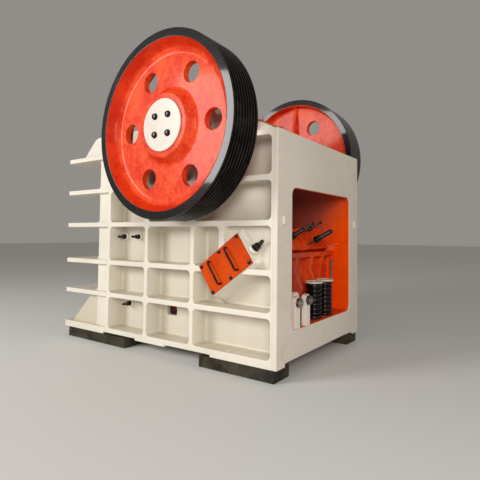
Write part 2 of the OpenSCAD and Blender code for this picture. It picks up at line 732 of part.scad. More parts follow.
module sill_lug_bolts() color(steel) place() for (y = [lug_y, lug_mid_y])
    translate([-lug_gap_x, y, sill_z + lug_h - lug_hole]) rotate([0, 90, 0]) {
        translate([0, 0, -lug_t - lug_bolt_in]) cylinder(r = lug_bolt_r - seat, h = lug_t + lug_bolt_in + lug_bolt_out);
        cylinder(r = washer_r, h = washer_t);
    }

// Thin pipe on the far side wall, with two clips.
module grease_pipe() color(steel) place() {
    rod_z(-pipe_x, half_in - 2 * pipe_r, pipe_z0, pipe_z1, pipe_r);
    for (z = [pipe_z0 + 2 * clip_t, pipe_z1 - 3 * clip_t]) translate([-pipe_x - clip_t / 2, half_in - 2 * pipe_r, z]) cube([clip_t, 2 * pipe_r, clip_t]);
}

module rod_z(x, y, z0, z1, r) translate([x, y, z0]) cylinder(r = r, h = z1 - z0);

// Support blocks under the ends of the base, drilled for the anchor bolts.
module skid(x0, l, hole_x) color(dark) translate([mid_x, -half_w, 0]) difference() {
    translate([x0, 0, 0]) cube([l, half_w - half_in, skid_h]);
    translate([hole_x, anchor_edge, -1]) cylinder(r = anchor_r, h = skid_h + 2);
}

module support_block_front_near() skid(-frame_len + skid_front_in, skid_front_l, -seam_x - anchor_front);
module support_block_front_far() far() support_block_front_near();
module support_block_rear_near() skid(-skid_rear_in - skid_rear_l, skid_rear_l, -anchor_rear_x);
module support_block_rear_far() far() support_block_rear_near();

// Shaft through both wheels, both bearings and the swing jaw.
module shaft() color(steel) place() {
    rod_y(-shaft_x, shaft_z, shaft_r, -hub_out + shaft_end, hub_out - shaft_end);
    rod_y(-shaft_x, shaft_z, eccentric_r, -jaw_half, jaw_half);
}

// Radial section of a wheel, r along x and depth from the frame outwards along y.
module wheel_outline(depth) {
    web_out = wheel_out - depth;
    web_in = web_out - web_t;
    polygon([[shaft_r, hub_in], [hub_r - hub_chamfer, hub_in], [hub_r, web_in - hub_neck], [hub_r, web_in],
             [wheel_r - rim_t - web_slope_in, web_in], [wheel_r - rim_t, wheel_in], [wheel_r, wheel_in], [wheel_r, wheel_out],
             [wheel_r - rim_t, wheel_out], [wheel_r - rim_t - web_slope, web_out], [hub_r, web_out], [hub_ring_r, hub_out],
             [shaft_r, hub_out]]);
}

module wheel_body(depth) difference() {
    web_in = wheel_out - depth - web_t;
    union() {
        rotate([90, 0, 0]) rotate_extrude() wheel_outline(depth);
        // Ribs behind the web, half way between its holes and deeper towards the hub.
        for (i = [0 : 2]) rotate([0, i * 120 - 90, 0]) translate([0, 0, -web_rib_t / 2]) linear_extrude(height = web_rib_t)
            polygon([[hub_r - hub_chamfer - 5, -web_in - 1], [wheel_r - rim_t + 1, -web_in - 1], [wheel_r - rim_t + 1, -web_in + web_rib_end],
                     [hub_r - hub_chamfer - 5, -web_in + web_rib_d]]);
    }
    for (i = [0 : 5]) rotate([0, i * 60, 0]) translate([web_hole_pcr, 0, 0]) rotate([90, 0, 0])
        translate([0, 0, web_in - 20]) cylinder(r = web_hole_r, h = web_t + 60);
}

module belt_pulley() color(orange) place() translate([-shaft_x, 0, shaft_z]) difference() {
    wheel_body(web_depth);
    pitch = (rim_w - 22) / grooves;
    rotate([90, 0, 0]) rotate_extrude() for (i = [0 : grooves - 1]) {
        y = wheel_in + 11 + (i + 0.5) * pitch;
        polygon([[wheel_r + 1, y - pitch * 0.36], [wheel_r - groove_d, y - pitch * 0.2], [wheel_r - groove_d, y + pitch * 0.2], [wheel_r + 1, y + pitch * 0.36]]);
    }
}

module flywheel() color(orange) far() place() translate([-shaft_x, 0, shaft_z]) wheel_body(fly_web_depth);

// Disc over the end of the shaft.
module hub_cap() color(cream) place() rod_y(-shaft_x, shaft_z, cap_r, -hub_out - cap_t, -hub_out);

module hub_cap_near() hub_cap();
module hub_cap_far() far() hub_cap();

side_wall_near();
side_wall_far();
front_wall();
rear_wall();
bearing_housing_near();
bearing_housing_far();
bearing_cover_near();
bearing_cover_far();
fixed_jaw_plate();
side_liner_near();
side_liner_far();
toggle_beam();
block_rails();
adjusting_block();
adjusting_screws();
toggle_plate();
swing_jaw();
swing_jaw_plate();
jaw_plate_clamp();
window_cover_near();
window_cover_far();
cover_handles_near();
cover_handles_far();
liner_bolts_near();
liner_bolts_far();
lock_bolt_near();
lock_bolt_far();
spring_front();
spring_back();
spring_disc_front();
spring_disc_back();
sill_lugs();
sill_lug_bolts();
grease_pipe();
support_block_front_near();
support_block_front_far();
support_block_rear_near();
support_block_rear_far();
shaft();
belt_pulley();
flywheel();
hub_cap_near();
hub_cap_far();
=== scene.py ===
from math import cos, pi, radians, sin

import bmesh
import bpy
from mathutils import Matrix, Vector


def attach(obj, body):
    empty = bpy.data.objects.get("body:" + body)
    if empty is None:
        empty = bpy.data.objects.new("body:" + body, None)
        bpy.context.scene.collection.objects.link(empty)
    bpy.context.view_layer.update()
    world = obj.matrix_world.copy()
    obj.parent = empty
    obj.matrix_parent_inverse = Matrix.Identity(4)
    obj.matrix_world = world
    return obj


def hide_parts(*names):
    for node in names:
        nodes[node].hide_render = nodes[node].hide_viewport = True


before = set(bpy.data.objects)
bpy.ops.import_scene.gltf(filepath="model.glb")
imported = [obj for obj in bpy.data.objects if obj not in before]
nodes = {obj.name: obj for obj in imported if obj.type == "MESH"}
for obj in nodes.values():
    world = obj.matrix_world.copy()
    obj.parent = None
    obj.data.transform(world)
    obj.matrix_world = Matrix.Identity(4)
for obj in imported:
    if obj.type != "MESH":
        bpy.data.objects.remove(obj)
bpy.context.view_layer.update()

scene = bpy.context.scene

# Limits on a mesh's points are in metres, in the object's frame. Shapes, widths, lifts and what at()
# takes are in millimetres, from the profile plane's zero, which lies here in the object's frame.
PLANE_X, PLANE_Z = 1250, 86


def at(x, y, z):
    """A point of the profile plane's frame, in millimetres, as a place in the object's frame."""
    return Vector((PLANE_X + x, y, PLANE_Z + z)) / 1000


# Finishes

class Value:
    """A shader value. Arithmetic on it adds Math nodes."""

    def __init__(self, finish, socket):
        self.finish, self.socket = finish, socket

    def math(self, operation, *others, swapped=False):
        values = [self, *others]
        if swapped:
            values.reverse()
        return self.finish.node("Math", {"operation": operation}, *values)

    def __add__(self, other):
        return self.math("ADD", other)

    def __sub__(self, other):
        return self.math("SUBTRACT", other)

    def __rsub__(self, other):
        return self.math("SUBTRACT", other, swapped=True)

    def __mul__(self, other):
        return self.math("MULTIPLY", other)

    __radd__, __rmul__ = __add__, __mul__

    def above(self, low, high):
        """0 below low, 1 above high, smooth between."""
        return self.finish.node("MapRange", {"interpolation_type": "SMOOTHSTEP"}, self, low, high, 0.0, 1.0)


class Finish:
    """A material whose nodes are written as expressions."""

    def __init__(self, name, colour, rough, metal=0.0, coat=0.0, coat_rough=0.1, gloss=0.5):
        self.material = bpy.data.materials.new(name)
        self.material.use_nodes = True
        self.tree = self.material.node_tree
        self.shader = self.tree.nodes["Principled BSDF"]
        self.place = self.node("TexCoord", out="Object")
        self.set("Base Color", (*colour, 1.0))
        self.set("Roughness", rough)
        self.set("Metallic", metal)
        self.set("Coat Weight", coat)
        self.set("Coat Roughness", coat_rough)
        self.set("Specular IOR Level", gloss)

    def node(self, kind, settings=None, *values, out=0, **named):
        """Adds a node: its settings first, then the values or links of its sockets."""
        made = self.tree.nodes.new("ShaderNode" + kind)
        for key, setting in (settings or {}).items():
            setattr(made, key, setting)
        for index, value in list(enumerate(values)) + list(named.items()):
            self.join(made.inputs[index], value)
        return Value(self, made.outputs[out])

    def join(self, socket, value):
        if isinstance(value, Value):
            self.tree.links.new(value.socket, socket)
        elif value is not None:
            socket.default_value = value

    def set(self, name, value):
        self.join(self.shader.inputs[name], value)

    def noise(self, scale, detail=3.0, rough=0.55, warp=0.0):
        return self.node("TexNoise", None, Vector=self.place, Scale=scale, Detail=detail,
                         Roughness=rough, Distortion=warp)

    def cells(self, scale):
        return self.node("TexVoronoi", {"feature": "F1"}, Vector=self.place, Scale=scale, Randomness=1.0)

    def mix(self, amount, first, second):
        made = self.tree.nodes.new("ShaderNodeMix")
        made.data_type = "RGBA"
        for index, value in ((0, amount), (6, first), (7, second)):
            self.join(made.inputs[index], (*value, 1.0) if isinstance(value, tuple) else value)
        return Value(self, made.outputs[2])

    def axis(self, name, of=None):
        """One coordinate of the place, or of another vector."""
        return self.node("SeparateXYZ", None, of or self.place, out=name)

    def facing(self, name):
        """How far the surface faces along one axis."""
        return self.axis(name, self.node("NewGeometry", out="Normal"))

    def bump(self, *heights, edge):
        """Heights in millimetres, over edges rounded by edge millimetres."""
        normal = self.node("Bevel", {"samples": 6}, edge / 1000) if edge else None
        for height in heights:
            normal = self.node("Bump", None, Strength=1.0, Distance=0.001, Height=height, Normal=normal)
        self.set("Normal", normal)


CREAM = (0.83, 0.78, 0.67)
SHADED_CREAM = (0.60, 0.54, 0.43)
DUST = (0.52, 0.45, 0.34)
PAINTED_SHADE_RED = (0.25, 0.07, 0.055)


def cast_paint(name, dust=1.0, recess_shade=None, light=CREAM):
    """Cream gloss paint on rough cast steel, with painted shade deep in recesses when asked, and dust on what
    faces up.
    """
    f = Finish(name, light, 0.4, coat=0.2, coat_rough=0.2, gloss=0.4)
    clouds, patches, grit = f.noise(1.3, 3), f.noise(7, 4, warp=0.4), f.noise(60, 3)
    tone = f.mix(clouds.above(0.35, 0.68), tuple(c * 0.91 for c in light), light)
    tone = f.mix(patches.above(0.5, 0.8) * 0.5, tone, tuple(c * 0.8 for c in light))
    if recess_shade:
        # Painted shade: the cream darkens deeper into the pockets, nearer the middle plane.
        depth = 1 - f.axis("Y").math("ABSOLUTE").above(*recess_shade)
        tone = f.mix(depth * (f.noise(4, 4, warp=0.5) * 0.5 + 0.35), tone, SHADED_CREAM)
    up = f.facing("Z").above(0.35, 0.95)
    film = up * (f.noise(5, 5, warp=0.6).above(0.32, 0.68) * 0.5 + 0.25) * dust
    f.set("Base Color", f.mix(film, tone, DUST))
    f.set("Roughness", patches * 0.25 + grit * 0.12 + film * 0.3 + 0.2)
    f.bump(f.noise(5, 2) * 3.2, patches * 1.2, grit * 0.22, f.noise(220, 2) * 0.05, edge=5)
    return f


def orange_paint(name, light=(0.82, 0.088, 0.020), deep=(0.64, 0.026, 0.003), pits=1.0, edge=5,
                 coat=0.18, gloss=0.12, shade_mask=None):
    """Orange-red gloss paint, mottled where the coat lies thick over cast pits, with painted shade where a
    shade mask is given.
    """
    f = Finish(name, light, 0.4, coat=coat, coat_rough=0.1, gloss=gloss)
    clouds, blotch, grit = f.noise(4, 3, warp=0.5), f.noise(20, 5, 0.65, warp=0.8), f.noise(60, 3)
    tone = f.mix((clouds * 0.5 + blotch * 0.5).above(0.4, 0.6), deep, light)
    pocks = 1 - f.cells(46).above(0.03, 0.16)
    pocks = pocks * f.noise(6, 2).above(0.5, 0.62) * pits
    tone = f.mix(pocks * 0.5, tone, deep)
    # Painted shade: where a mask is given, the red darkens towards a dark brown-red.
    if shade_mask:
        tone = f.mix(shade_mask(f) * (clouds * 0.3 + 0.7), tone, PAINTED_SHADE_RED)
    f.set("Base Color", tone)
    f.set("Roughness", blotch * 0.3 + grit * 0.1 + 0.25)
    f.bump(clouds * 2.5 * pits, blotch * 2.2 * pits + 0.3, pocks * -0.8, grit * 1.3 * pits, edge=edge)
    return f


def black_enamel(name, rough=0.2, cast=1.0, edge=3):
    """Thick black gloss over a turned or cast face."""
    f = Finish(name, (0.008, 0.006, 0.006), rough, coat=0.55, coat_rough=0.06, gloss=0.08)
    skin, grit = f.noise(30, 4, 0.6), f.noise(75, 3)
    f.set("Base Color", f.mix(f.noise(9, 4).above(0.5, 0.8), (0.006, 0.004, 0.004), (0.025, 0.019, 0.016)))
    f.set("Roughness", skin * 0.25 + grit * 0.2 + (rough - 0.1))
    f.bump(skin * 0.8 * cast, grit * 1.3 * cast, edge=edge)
    return f


def bare_steel(name, dark, light, rough, metal, grain, edge=1.5):
    """Unpainted steel with a light mill skin."""
    f = Finish(name, light, rough, metal)
    skin, grit = f.noise(12, 5, 0.65, warp=0.4), f.noise(140, 3)
    f.set("Base Color", f.mix(skin.above(0.35, 0.7), dark, light))
    f.set("Roughness", skin * 0.25 + grit * 0.15 + (rough - 0.15))
    f.bump(skin * 0.5 * grain, grit * 0.12 * grain, edge=edge)
    return f


def dirty_block(name):
    """Dark steel blocks with floor dirt on their faces."""
    f = Finish(name, (0.04, 0.035, 0.025), 0.7, gloss=0.2)
    clouds, grit = f.noise(6, 5, 0.65, warp=0.5), f.noise(70, 4)
    tone = f.mix(clouds.above(0.35, 0.65), (0.018, 0.015, 0.010), (0.062, 0.054, 0.034))
    f.set("Base Color", f.mix(grit.above(0.55, 0.75) * 0.4, tone, (0.11, 0.10, 0.07)))
    f.set("Roughness", clouds * 0.3 + 0.5)
    f.bump(clouds * 2.5, grit * 0.6, edge=3)
    return f


cast = cast_paint("cast_paint")
# The side walls' pockets take painted shade towards their backs.
side_cast = cast_paint("side_cast", recess_shade=(0.55, 0.69))
# Painted shade: the rear wall's cream is a darker, warmer copy of the frame's cream.
rear_cast_shaded = cast_paint("rear_cast_shaded", 0.6, light=(0.78, 0.71, 0.60))
wheel_orange = orange_paint("wheel_orange")
# Painted shade: a darker red for the wall of the outer dish under the rim.
wheel_band_shaded = orange_paint("wheel_band_shaded", (0.72, 0.045, 0.006), (0.56, 0.020, 0.002), pits=0.5,
                          coat=0.12, gloss=0.1)
cover_orange = orange_paint("cover_orange", (0.64, 0.066, 0.001), (0.56, 0.045, 0.001), pits=0.15, edge=2,
                            coat=0.06, gloss=0.08)
inside_orange = orange_paint("inside_orange", (0.76, 0.075, 0.008), (0.58, 0.032, 0.003), pits=0.8)
# Painted shade: the inner walls darken further in from the service opening and higher up.
wall_orange = orange_paint("wall_orange", (0.98, 0.095, 0.001), (0.90, 0.070, 0.001), pits=0.4,
                           coat=0.05, gloss=0.05,
                           shade_mask=lambda f: 1 - (f.axis("X") - f.axis("Z") * 0.5).above(0.25, 0.7))
# Painted shadow: the beam darkens towards the near side, where the near wall's jamb shades it.
beam_orange = orange_paint("beam_orange", (0.80, 0.085, 0.012), (0.62, 0.040, 0.005), pits=0.8,
                           shade_mask=lambda f: (1 - f.axis("Y").above(-0.4, 0.2)) * 0.9)
# Painted highlight: the rails' orange is a lighter, pinker copy of the inside red.
rail_orange_lit = orange_paint("rail_orange_lit", (0.98, 0.20, 0.08), (0.90, 0.13, 0.04), pits=0.3, edge=2)
enamel = black_enamel("black_enamel")
black_steel = black_enamel("black_steel", 0.4, 0.35, 1)
zinc = bare_steel("zinc_steel", (0.14, 0.13, 0.12), (0.60, 0.58, 0.55), 0.24, 0.9, 0.5)
pipe_paint = bare_steel("pipe_paint", (0.16, 0.075, 0.085), (0.24, 0.12, 0.14), 0.6, 0.0, 0.5)
jaw_steel = bare_steel("jaw_steel", (0.13, 0.12, 0.115), (0.24, 0.225, 0.21), 0.55, 0.6, 3.0, 4)
turned_steel = bare_steel("turned_steel", (0.42, 0.41, 0.39), (0.58, 0.56, 0.54), 0.28, 0.95, 0.3)
blocks = dirty_block("block_dirt")
cap_cream = cast_paint("cap_cream", 0.3, light=(0.71, 0.64, 0.55))
ring_cream = cast_paint("ring_cream", 0.0, light=(0.92, 0.88, 0.78))
# Painted shade: a darker cream for the flat sides of the lowest corner gussets, under the shelf above.
gusset_cast_shaded = cast_paint("gusset_cast_shaded", light=(0.68, 0.61, 0.48))
# A cream whose upward faces are heavily greyed to a beige-grey.
plate_grey_top = cast_paint("plate_grey_top", 2.0)
black_gloss = black_enamel("black_gloss", 0.16, 0.2, 1)
screw_black = black_enamel("screw_black", 0.45, 0.6, 1)
handle_black = black_enamel("handle_black", 0.4, 0.05, 0)


# Making pieces

ALONG_X = Matrix.Rotation(pi / 2, 4, "Y")
SIDES = ((-1, "near", Matrix.Rotation(pi / 2, 4, "X")), (1, "far", Matrix.Rotation(-pi / 2, 4, "X")))
SHAFT_X = -786
SHAFT = at(SHAFT_X, 0, 1687)
SHAPES = bpy.data.meshes.new("shapes")

# A CAD node's corners within WELD are merged, its faces within FLAT joined, its edges under SLIVER closed.
WELD = 2e-5
FLAT = radians(0.6)
SLIVER = 1.5e-3
THREAD_DEPTH = 1.4
ROOT_THREE = 1.732


def moved(place=(0, 0, 0), turn=None, spin=0.0, lift=0.0):
    """A move that turns a shape made on Z and sets it at a place, lifted along its own axis."""
    start = Matrix.Translation(place) @ (turn or Matrix())
    return start @ Matrix.Translation((0, 0, lift / 1000)) @ Matrix.Rotation(radians(spin), 4, "Z")


def add(bm, shape, move):
    """Adds a shape to a piece."""
    shape.transform(move)
    shape.to_mesh(SHAPES)
    shape.free()
    bm.from_mesh(SHAPES)


def turned(profile, segments=32, closed=False):
    """A shape turned about Z from radii and heights in millimetres."""
    bm = bmesh.new()
    ring = [bm.verts.new((r / 1000, 0, z / 1000)) for r, z in profile]
    line = [bm.edges.new(pair) for pair in zip(ring, ring[1:] + ring[:1] if closed else ring[1:])]
    bmesh.ops.spin(bm, geom=ring + line, cent=(0, 0, 0), axis=(0, 0, 1), dvec=(0, 0, 0), angle=2 * pi,
                   steps=segments, use_merge=True, use_duplicate=False)
    bmesh.ops.remove_doubles(bm, verts=bm.verts, dist=1e-5)
    bmesh.ops.recalc_face_normals(bm, faces=bm.faces)
    return bm


def hexagon(across, height, dome=0.0):
    """A nut or a bolt head with chamfered corners."""
    bm = bmesh.new()
    corner = across / ROOT_THREE / 1000
    bmesh.ops.create_cone(bm, cap_ends=True, segments=6, radius1=corner, radius2=corner, depth=height / 1000,
                          matrix=moved(lift=height / 2))
    bmesh.ops.bevel(bm, geom=bm.edges, offset=across / 16000, segments=2, profile=0.5, affect="EDGES",
                    material=-1)
    if dome:
        cap = [(0, height + dome), (across * 0.25, height + dome * 0.8), (across * 0.42, height - 0.5),
               (0, height - 2)]
        add(bm, turned(cap, 24), Matrix())
    return bm


def stud(radius, length, plain=0.0, pitch=4.0):
    """A threaded bar, plain for its first part, with a chamfered end."""
    profile = [(0, 0), (radius, 0), (radius, plain)]
    z = plain
    while z < length - 2 * pitch:
        profile += [(radius - THREAD_DEPTH, z + pitch * 0.25), (radius, z + pitch * 0.75)]
        z += pitch
    profile += [(radius - THREAD_DEPTH, length - pitch), (radius - 3, length), (0, length)]
    return turned(profile, 20)


def washer(outer, inner, height):
    """A flat ring with chamfered outer edges."""
    edge = height * 0.2
    profile = [(inner, 0), (outer - edge, 0), (outer, edge), (outer, height - edge), (outer - edge, height),
               (inner, height)]
    return turned(profile, 36, closed=True)


def bent_bar(radius, moves, sides=14):
    """A round bar of straight lengths and (radius, degrees) bends, made along Z and bent about Y."""
    bm = bmesh.new()
    bmesh.ops.create_circle(bm, cap_ends=True, segments=sides, radius=radius / 1000)
    front = list(bm.edges)
    tip = Matrix()
    for move in moves:
        if isinstance(move, tuple):
            bend, angle = move[0] / 1000, radians(move[1])
            centre = tip @ Vector((bend, 0, 0))
            axis = tip.to_3x3() @ Vector((0, 1, 0))
            corners = list({v for e in front for v in e.verts})
            made = bmesh.ops.spin(bm, geom=front + corners, cent=centre, axis=axis, dvec=(0, 0, 0),
                                  angle=angle, steps=8, use_duplicate=False)
            front = [e for e in made["geom_last"] if isinstance(e, bmesh.types.BMEdge)]
            about = Matrix.Translation(centre) @ Matrix.Rotation(angle, 4, axis) @ Matrix.Translation(-centre)
            tip = about @ tip
        else:
            made = bmesh.ops.extrude_edge_only(bm, edges=front)["geom"]
            fresh = [v for v in made if isinstance(v, bmesh.types.BMVert)]
            bmesh.ops.translate(bm, verts=fresh, vec=tip.to_3x3() @ Vector((0, 0, move / 1000)))
            edges = [e for e in made if isinstance(e, bmesh.types.BMEdge)]
            front = [e for e in edges if all(v in fresh for v in e.verts)]
            tip = tip @ moved(lift=move)
    bmesh.ops.contextual_create(bm, geom=front)
    bmesh.ops.recalc_face_normals(bm, faces=bm.faces)
    return bm


def wear(piece, finish):
    piece.data.materials.clear()
    piece.data.materials.append(finish.material)


def keep(bm, name, body, *finishes, slot=None, replaces=(), smooth=40, even=False):
    """Ends a piece: smooth between sharp edges, riding on its body, with the finishes given; its slot is not
    used.
    """
    mesh = bpy.data.meshes.new(name)
    bm.to_mesh(mesh)
    bm.free()
    piece = bpy.data.objects.new(name, mesh)
    scene.collection.objects.link(piece)
    # Normals that came with a CAD mesh would hide steep edges from the test for sharp ones.
    if "custom_normal" in mesh.attributes:
        mesh.attributes.remove(mesh.attributes["custom_normal"])
    mesh.shade_smooth()
    mesh.set_sharp_from_angle(angle=radians(smooth))
    if even:
        flat = piece.modifiers.new("flat_faces", "WEIGHTED_NORMAL")
        flat.keep_sharp, flat.weight = True, 100
    for finish in finishes:
        mesh.materials.append(finish.material)
    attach(piece, body)
    if replaces:
        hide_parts(*replaces)


def solid_of(node):
    """A merged copy of a CAD node with its flat faces joined."""
    bm = bmesh.new()
    bm.from_mesh(nodes[node].data)
    bmesh.ops.remove_doubles(bm, verts=bm.verts, dist=WELD)
    bmesh.ops.dissolve_limit(bm, angle_limit=FLAT, verts=bm.verts, edges=bm.edges)
    bmesh.ops.dissolve_degenerate(bm, dist=SLIVER, edges=bm.edges)
    return bm


def soften(bm, convex, width, where=None, steeper=32, segments=2):
    """Rounds the sharp edges, or fills the sharp corners, that lie where asked."""
    edges = [e for e in bm.edges if e.is_manifold and e.is_convex == convex
             and e.calc_face_angle() > radians(steeper)
             and (where is None or where((e.verts[0].co + e.verts[1].co) / 2, e))]
    bmesh.ops.bevel(bm, geom=edges, offset=width / 1000, segments=segments, profile=0.5, affect="EDGES",
                    clamp_overlap=False, material=-1)


def paint_faces(bm, index, where):
    """Gives a finish to the faces whose corners all lie where asked."""
    for face in bm.faces:
        if all(where(v.co, face.normal) for v in face.verts):
            face.material_index = index


# Frame

# How far two faces of the side walls lie from the middle plane, and where the rear wall meets the walls.
POCKET_FLOOR = 0.542
WALL_INSIDE = 0.503
SEAM = 1.2095
LINER_BOLTS = ((-1778, 881), (-1586, 881), (-1690, 276))
LINER_BOSS = 0.036


def window_boss_edge(edge):
    """Whether a long edge runs down a corner of the boss round the toggle window."""
    a, b = (v.co for v in edge.verts)
    length = (a - b).length
    leans = radians(75) < edge.calc_face_angle() < radians(88)
    return leans and length > 0.04 and 0.2 < abs(a.y - b.y) / length < 0.98


def pocket_floor_edge(p, edge):
    """Whether a level edge is the steep corner at the floor of a pocket."""
    a, b = (v.co for v in edge.verts)
    on_floor = abs(abs(p.y) - POCKET_FLOOR) < 0.002 and abs(a.y - b.y) < 1e-4
    return on_floor and edge.calc_face_angle() > radians(80)


def beside_bosses(p):
    """Whether a point is in a pocket where bolt bosses stand close to the ribs."""
    return p.x < -0.08 and (p.z < 0.43 or 0.74 < p.z < 1.06)


def liner_boss_top(p):
    """Whether a point is on the end of a boss that a liner bolt stands on."""
    bosses = (at(x, p.y * 1000, z) for x, z in LINER_BOLTS)
    return 0.55 < abs(p.y) < 0.57 and any((p - boss).length < LINER_BOSS for boss in bosses)


for side, name, _ in SIDES:
    bm = solid_of("side_wall_" + name)
    soften(bm, True, 18, lambda p, e: window_boss_edge(e), 50, 4)
    soften(bm, True, 5, lambda p, e: p.x < SEAM)
    for width, tight in ((20, False), (5, True)):
        soften(bm, False, width, lambda p, e: pocket_floor_edge(p, e) and beside_bosses(p) == tight, 50, 4)
    paint_faces(bm, 1, lambda p, n: n.y * side < -0.9 and abs(p.y) < WALL_INSIDE)
    paint_faces(bm, 2, lambda p, n: liner_boss_top(p))
    keep(bm, "side_wall_cast_" + name, "frame", side_cast, wall_orange, ring_cream,
         replaces=["side_wall_" + name], even=True, smooth=75)


def anchor_cut(p):
    """Whether a point is where an anchor hole cuts the root of a corner gusset."""
    return -0.83 < p.x < -0.78 and 0.63 < abs(p.y) < 0.67 and p.z < 0.45


def low_gusset_side(p, n):
    """Whether a point is on the flat side of a lowest corner gusset."""
    return abs(n.y) > 0.9 and 0.63 < abs(p.y) < 0.65 and p.x < -0.78 and 0.14 < p.z < 0.43


def inside_opening(p):
    """Whether a point is on the rear wall's inner side or in its service opening, short of the outer lip."""
    return p.x < 1.2445 and abs(p.y) < 0.51 and 0.3 < p.z < 1.345


bm = solid_of("front_wall")
soften(bm, True, 5, lambda p, e: e.calc_length() > 0.012 and not anchor_cut(p))
# The lowest corner gussets' flat sides take the cream with painted shade.
paint_faces(bm, 1, low_gusset_side)
keep(bm, "front_wall_cast", "frame", cast, gusset_cast_shaded, replaces=["front_wall"], even=True)

bm = solid_of("rear_wall")
soften(bm, True, 6, lambda p, e: p.x > SEAM + 0.002)
paint_faces(bm, 1, lambda p, n: inside_opening(p))
keep(bm, "rear_wall_plate", "frame", rear_cast_shaded, wall_orange, replaces=["rear_wall"], even=True)


# Wheels

RIM_INSIDE = 0.622
BAND = (0.57, 0.6235)
GROOVES_FROM = 0.655
WEB_FRONT = 0.9
HUB_FACE, CAP_THICK, CAP_BOLTS = 1.010, 0.011, 0.095
CAP_WASHER = 3


def from_shaft(p):
    """A point's distance from the shaft's axis."""
    return ((p.x - SHAFT.x) ** 2 + (p.z - SHAFT.z) ** 2) ** 0.5


def on_tread(p):
    """Whether a point is on the outside of a rim, between its edges."""
    return from_shaft(p) > GROOVES_FROM and 0.786 < abs(p.y) < 1.034


def on_rim(p):
    """Whether a point is on the black part of a wheel: its tread and its two flat rings."""
    dish_wall = abs(p.y) < 1.03 and from_shaft(p) < RIM_INSIDE + 0.002
    return from_shaft(p) > RIM_INSIDE - 0.001 and not dish_wall


def on_band(p):
    """Whether a point is on the wall of the outer dish, under the rim."""
    return BAND[0] < from_shaft(p) < BAND[1] and WEB_FRONT < abs(p.y) < 1.041


for node in ("belt_pulley", "flywheel"):
    bm = solid_of(node)
    soften(bm, True, 4, lambda p, e: not on_tread(p), 30, 3)
    soften(bm, True, 1.2, lambda p, e: on_tread(p), 30, 1)
    soften(bm, False, 42, lambda p, e: 0.55 < from_shaft(p) < RIM_INSIDE and abs(p.y) > WEB_FRONT, 30, 6)
    soften(bm, False, 16, lambda p, e: from_shaft(p) < 0.5 and abs(p.y) > WEB_FRONT, 30, 4)
    soften(bm, False, 7, lambda p, e: not on_tread(p) and abs(p.y) < WEB_FRONT, 30, 3)
    paint_faces(bm, 1, lambda p, n: on_rim(p))
    # The dish wall under the rim takes the red with painted shade.
    paint_faces(bm, 2, lambda p, n: on_band(p))
    keep(bm, node + "_cast", "rotor", wheel_orange, enamel, wheel_band_shaded, replaces=[node], even=True, smooth=35)

for side, name, turn in SIDES:
    face = SHAFT + Vector((0, side * HUB_FACE, 0))
    disc = bmesh.new()
    add(disc, turned([(0, 0), (187, 0), (189, 2), (192, 2), (192, 8), (189, 11), (0, 11)], 96),
        moved(face, turn))
    keep(disc, "hub_cap_disc_" + name, "rotor", cap_cream, replaces=["hub_cap_" + name], even=True)
    bolts = bmesh.new()
    for angle in (45, 135, 225, 315):
        out = Vector((CAP_BOLTS * cos(radians(angle)), side * CAP_THICK, CAP_BOLTS * sin(radians(angle))))
        add(bolts, washer(25, 13, CAP_WASHER), moved(face + out, turn))
        add(bolts, hexagon(37, 12.5, 1.5), moved(face + out, turn, angle * 3, CAP_WASHER))
    keep(bolts, "hub_cap_bolts_" + name, "rotor", black_steel, slot="cover_handles_near", smooth=30)


# Window covers, liner bolts and lock bolts

COVER_FACE = 706
COVER_BOLTS = ((-342, 893), (-504, 778), (-671, 661), (-224, 714), (-388, 597), (-557, 481))
WINDOW = at(-450, 0, 687)
TOGGLE_TURN = Matrix.Rotation(radians(-35), 4, "Y")
LOCK_TURN = Matrix.Rotation(radians(52), 4, "Y")
HANDLE = (16, (14, 90), 160, (14, 90), 16)
for side, name, turn in SIDES:
    bm = solid_of("window_cover_" + name)
    soften(bm, True, 2.5)
    keep(bm, "window_cover_plate_" + name, "frame", cover_orange, replaces=["window_cover_" + name],
         even=True)
    bm = bmesh.new()
    for index, (x, z) in enumerate(COVER_BOLTS):
        add(bm, hexagon(22, 10, 1.5), moved(at(x, side * COVER_FACE, z), turn, 17 * index))
        add(bm, washer(14, 7, 2.5), moved(at(x, side * COVER_FACE, z), turn))
    add(bm, stud(8, 26), moved(at(-612, side * 672, 535), turn))
    keep(bm, "cover_bolts_" + name, "frame", black_steel, slot="cover_handles_" + name, smooth=30)
    bm = bmesh.new()
    for u in (83, -107):
        foot = WINDOW + TOGGLE_TURN @ Vector((u / 1000, side * COVER_FACE / 1000, -0.094))
        out, along = Vector((0, side, 0)), TOGGLE_TURN @ Vector((0, 0, 1))
        upright = Matrix((along, out.cross(along), out)).transposed().to_4x4()
        add(bm, bent_bar(8, HANDLE), Matrix.Translation(foot) @ upright)
    keep(bm, "cover_handle_bars_" + name, "frame", handle_black, replaces=["cover_handles_" + name])
    bm = bmesh.new()
    for x, z in LINER_BOLTS:
        add(bm, stud(11, 98, 10, 4), moved(at(x, side * 542, z), turn))
        add(bm, washer(24, 13, 4), moved(at(x, side * 564, z), turn))
        add(bm, hexagon(37, 24), moved(at(x, side * 568, z), turn, 20))
    keep(bm, "liner_bolt_studs_" + name, "frame", black_steel, replaces=["liner_bolts_" + name], smooth=30)
    bm = bmesh.new()
    for shape, z in ((washer(30, 15, 5), 24), (hexagon(46, 34), 29), (stud(14, 83, 40, 5), 29)):
        add(bm, shape, moved(at(-229, side * 660, 797), LOCK_TURN, lift=z))
    keep(bm, "lock_bolt_screw_" + name, "frame", black_steel, replaces=["lock_bolt_" + name], smooth=30)


# Behind the service opening

WIRE, COIL, SPRING_HEIGHT = 15, 53, 285
TURNS, STEPS = 7, 36
PLATE = ((0, 0), (70, 0), (76, 4), (76, 13), (73, 16), (68, 16), (65, 12), (16, 12), (14, 15), (0, 15))


